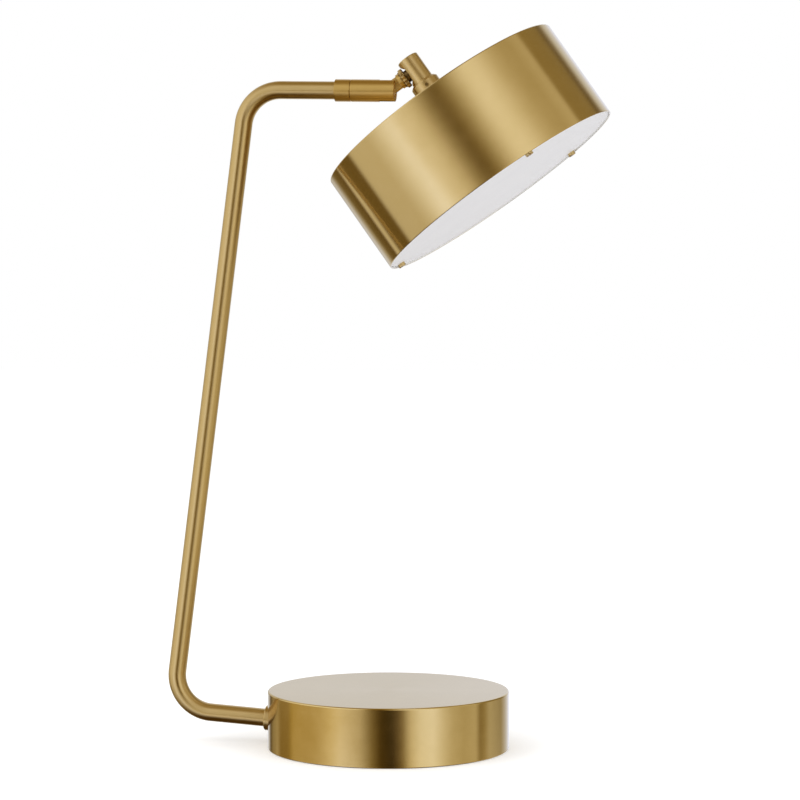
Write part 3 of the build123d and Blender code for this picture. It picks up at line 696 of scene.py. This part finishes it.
# Four rings round the lamp shine in the metal, one over another. Each stop is the degrees from the
# camera's side, positive to the right, then the level and the cast, from warm below zero to cool.
lowRing = [(-180, 0.76, 1), (-162, 0.76, 0.8), (-151, 0.10, 0), (-142, 0.36, 0),
           (-132, 0.46, -0.3), (-124, 0.30, -0.9), (-110, 0.33, -1.1), (-103, 0.50, -1.6),
           (-80, 0.50, -1.6), (-68, 0.55, -1.5), (-56, 0.73, -1.2), (-48, 0.80, -0.9),
           (-38, 0.64, -0.6), (-28, 0.50, -0.2), (-15, 0.07, 0), (-6, 0.0, 0), (2, 0.0, 0),
           (9, 0.04, 0), (14, 0.14, 0.3), (22, 0.71, 0.5), (31, 0.96, 0.6), (42, 1.06, 0.6),
           (54, 0.79, 0.5), (64, 0.60, 0.4), (76, 0.52, 0.3), (91, 0.61, 0.3), (97, 0.22, 0),
           (104, 0.35, 0.2), (112, 0.58, 0.6), (135, 0.40, 0.6), (165, 0.92, 1), (180, 0.76, 1)]
midRing = [(-180, 0.76, 1), (-160, 0.40, 0.3), (-140, 0.50, 0.2), (-110, 0.75, 0), (-60, 1.0, 0),
           (-45, 1.2, 0), (-34, 1.10, 0), (-26, 0.82, 0), (-18, 0.46, 0), (-8, 0.25, 0),
           (-2, 0.22, 0), (5, 0.35, 0), (13, 0.74, 0), (20, 1.08, 0), (30, 1.28, 0), (45, 1.2, 0),
           (60, 0.85, 0), (75, 0.66, 0), (90, 0.68, 0), (96, 0.5, 0), (100, 0.36, 0),
           (112, 0.5, 0.1), (130, 0.4, 0), (141, 0.4, 0.3), (147, 0.6, 0.8), (165, 0.88, 1),
           (180, 0.76, 1)]
highRing = [(-180, 0.76, 1), (-145, 0.6, 0.5), (-110, 0.95, 0), (-60, 1.08, 0), (-45, 1.10, 0),
            (-36, 1.04, 0), (-28, 0.88, 0), (-20, 0.37, 0), (-14, 0.18, 0), (-7, 0.14, 0),
            (-2, 0.31, 0), (6, 0.68, 0), (15, 1.09, 0), (25, 1.10, 0), (36, 0.97, 0),
            (48, 0.79, 0), (61, 0.67, 0), (75, 0.63, 0), (90, 0.74, 0), (95, 0.71, 0),
            (99, 0.35, 0), (130, 0.33, 0), (136, 0.12, 0), (141, 0.23, 0.3), (147, 0.68, 1),
            (165, 0.90, 1), (180, 0.76, 1)]
deepRing = [(-180, 0.80, 1), (-163, 0.72, 0.8), (-154, 0.5, 0.3), (-148, 0.20, 0), (-136, 0.14, 0),
            (-133, 0.78, 0), (-129, 0.76, 0), (-125, 0.20, 0), (-107, 0.19, 0), (-102, 0.82, 0.1),
            (-84, 0.83, 0.1), (-76, 0.80, 0.1), (-66, 0.94, 0.2), (-56, 1.18, 0.2),
            (-46, 1.40, 0.4), (-36, 1.25, 0.2), (-26, 1.10, 0), (-16, 0.70, -0.8),
            (-8, 0.22, -1.5), (4, 0.05, -1.5), (12, 0.25, -1.3), (20, 0.80, -1.1), (30, 1.1, -0.8),
            (45, 1.15, -0.6), (60, 0.90, -0.5), (105, 0.70, -0.4), (150, 0.7, 0.6), (180, 0.80, 1)]


def skyColour(level, cast):
    # dim parts of the studio are browner, as they look in brass
    red, green, blue = level, level ** studio["warm"][0], level ** studio["warm"][1]
    return (red, green * (1 + studio["cast"][0] * cast), blue * (1 + studio["cast"][1] * cast), 1)


def mixColours(tree, factor, first, second):
    mix = tree.nodes.new("ShaderNodeMix")
    mix.data_type = "RGBA"
    sockets = [socket for socket in mix.inputs if socket.type == "RGBA"]
    tree.links.new(factor, mix.inputs["Factor"])
    for socket, value in zip(sockets, (first, second)):
        if isinstance(value, tuple):
            socket.default_value = value
        else:
            tree.links.new(value, socket)
    return [socket for socket in mix.outputs if socket.type == "RGBA"][0]


def ringColour(tree, factor, stops):
    ramp = tree.nodes.new("ShaderNodeValToRGB")
    elements = ramp.color_ramp.elements
    while len(elements) < len(stops):
        elements.new(0.5)
    for element, (degrees, level, cast) in zip(elements, stops):
        element.position = degrees / 360 + 0.5
        element.color = skyColour(level, cast)
    tree.links.new(factor, ramp.inputs["Fac"])
    return ramp.outputs["Color"]


def makeWorld():
    world = bpy.data.worlds.new("studio")
    bpy.context.scene.world = world
    world.use_nodes = True
    tree = world.node_tree
    tree.nodes.clear()
    direction = tree.nodes.new("ShaderNodeTexCoord").outputs["Generated"]
    turn = tree.nodes.new("ShaderNodeVectorRotate")
    turn.rotation_type = "Z_AXIS"
    turn.inputs["Angle"].default_value = -radians(studio["cameraTurn"])
    tree.links.new(direction, turn.inputs["Vector"])
    split = tree.nodes.new("ShaderNodeSeparateXYZ")
    tree.links.new(turn.outputs["Vector"], split.inputs["Vector"])
    ahead = mathNode(tree, "MULTIPLY", split.outputs["Y"], -1.0)
    around = mathNode(tree, "ARCTAN2", split.outputs["X"], ahead)
    turns = mathNode(tree, "ADD", mathNode(tree, "DIVIDE", around, 2 * pi), 0.5)
    height = split.outputs["Z"]

    sky = ringColour(tree, turns, lowRing)
    others = (("lowToMid", ringColour(tree, turns, midRing)),
              ("midToHigh", ringColour(tree, turns, highRing)),
              ("lowToDeep", ringColour(tree, turns, deepRing)),
              ("highToPole", skyColour(*studio["poleTone"])),
              ("deepToGround", skyColour(*studio["groundTone"])))
    for between, colour in others:
        sky = mixColours(tree, spread(tree, height, 0, 1, studio[between]), sky, colour)

    # metal sees the rings, everything else an even light, and the camera white
    rays = tree.nodes.new("ShaderNodeLightPath")
    ambient = studio["ambient"]
    lit = mixColours(tree, rays.outputs["Is Glossy Ray"], (ambient, ambient, ambient, 1), sky)
    seen = mixColours(tree, rays.outputs["Is Camera Ray"], lit, (1, 1, 1, 1))
    background = tree.nodes.new("ShaderNodeBackground")
    tree.links.new(seen, background.inputs["Color"])
    output = tree.nodes.new("ShaderNodeOutputWorld")
    tree.links.new(background.outputs["Background"], output.inputs["Surface"])


def makeFloor():
    bm = bmesh.new()
    bmesh.ops.create_grid(bm, x_segments=1, y_segments=1, size=studio["floorSize"] / 2)
    mesh = bpy.data.meshes.new("studioFloor")
    bm.to_mesh(mesh)
    bm.free()
    floor = bpy.data.objects.new("studioFloor", mesh)
    bpy.context.scene.collection.objects.link(floor)
    material = bpy.data.materials.new("studioFloor")
    material.use_nodes = True
    tree = material.node_tree
    tree.nodes.clear()
    paper = tree.nodes.new("ShaderNodeBsdfDiffuse")
    paper.inputs["Color"].default_value = (*studio["floorColour"], 1)
    # lifted to white for the camera, and not there for what shines in the metal
    glow = tree.nodes.new("ShaderNodeEmission")
    rays = tree.nodes.new("ShaderNodeLightPath")
    lift = mathNode(tree, "MULTIPLY", rays.outputs["Is Camera Ray"], studio["floorLift"])
    tree.links.new(lift, glow.inputs["Strength"])
    both = tree.nodes.new("ShaderNodeAddShader")
    tree.links.new(paper.outputs["BSDF"], both.inputs[0])
    tree.links.new(glow.outputs["Emission"], both.inputs[1])
    clear = tree.nodes.new("ShaderNodeBsdfTransparent")
    pick = tree.nodes.new("ShaderNodeMixShader")
    tree.links.new(rays.outputs["Is Glossy Ray"], pick.inputs["Fac"])
    tree.links.new(both.outputs["Shader"], pick.inputs[1])
    tree.links.new(clear.outputs["BSDF"], pick.inputs[2])
    output = tree.nodes.new("ShaderNodeOutputMaterial")
    tree.links.new(pick.outputs["Shader"], output.inputs["Surface"])
    mesh.materials.append(material)


def makeLamps():
    for name, place, size, power in studio["lamps"]:
        data = bpy.data.lights.new(name, "AREA")
        data.shape = "SQUARE"
        data.size = size
        data.energy = power
        light = bpy.data.objects.new(name, data)
        light.location = place
        light.rotation_mode = "QUATERNION"
        away = Vector(place) - Vector(studio["lampAim"])
        light.rotation_quaternion = away.to_track_quat("Z", "Y")
        light.visible_glossy = False
        bpy.context.scene.collection.objects.link(light)


def makeCamera():
    data = bpy.data.cameras.new("camera")
    data.lens = studio["lens"]
    data.sensor_width = studio["sensor"]
    data.clip_start, data.clip_end = studio["clip"]
    camera = bpy.data.objects.new("camera", data)
    camera.location = studio["cameraPlace"]
    camera.rotation_euler = (radians(90 - studio["cameraDip"]), 0, radians(studio["cameraTurn"]))
    bpy.context.scene.collection.objects.link(camera)
    bpy.context.scene.camera = camera


makeWorld()
makeFloor()
makeLamps()
makeCamera()
bpy.context.scene.view_settings.view_transform = "Standard"
print("studio made")
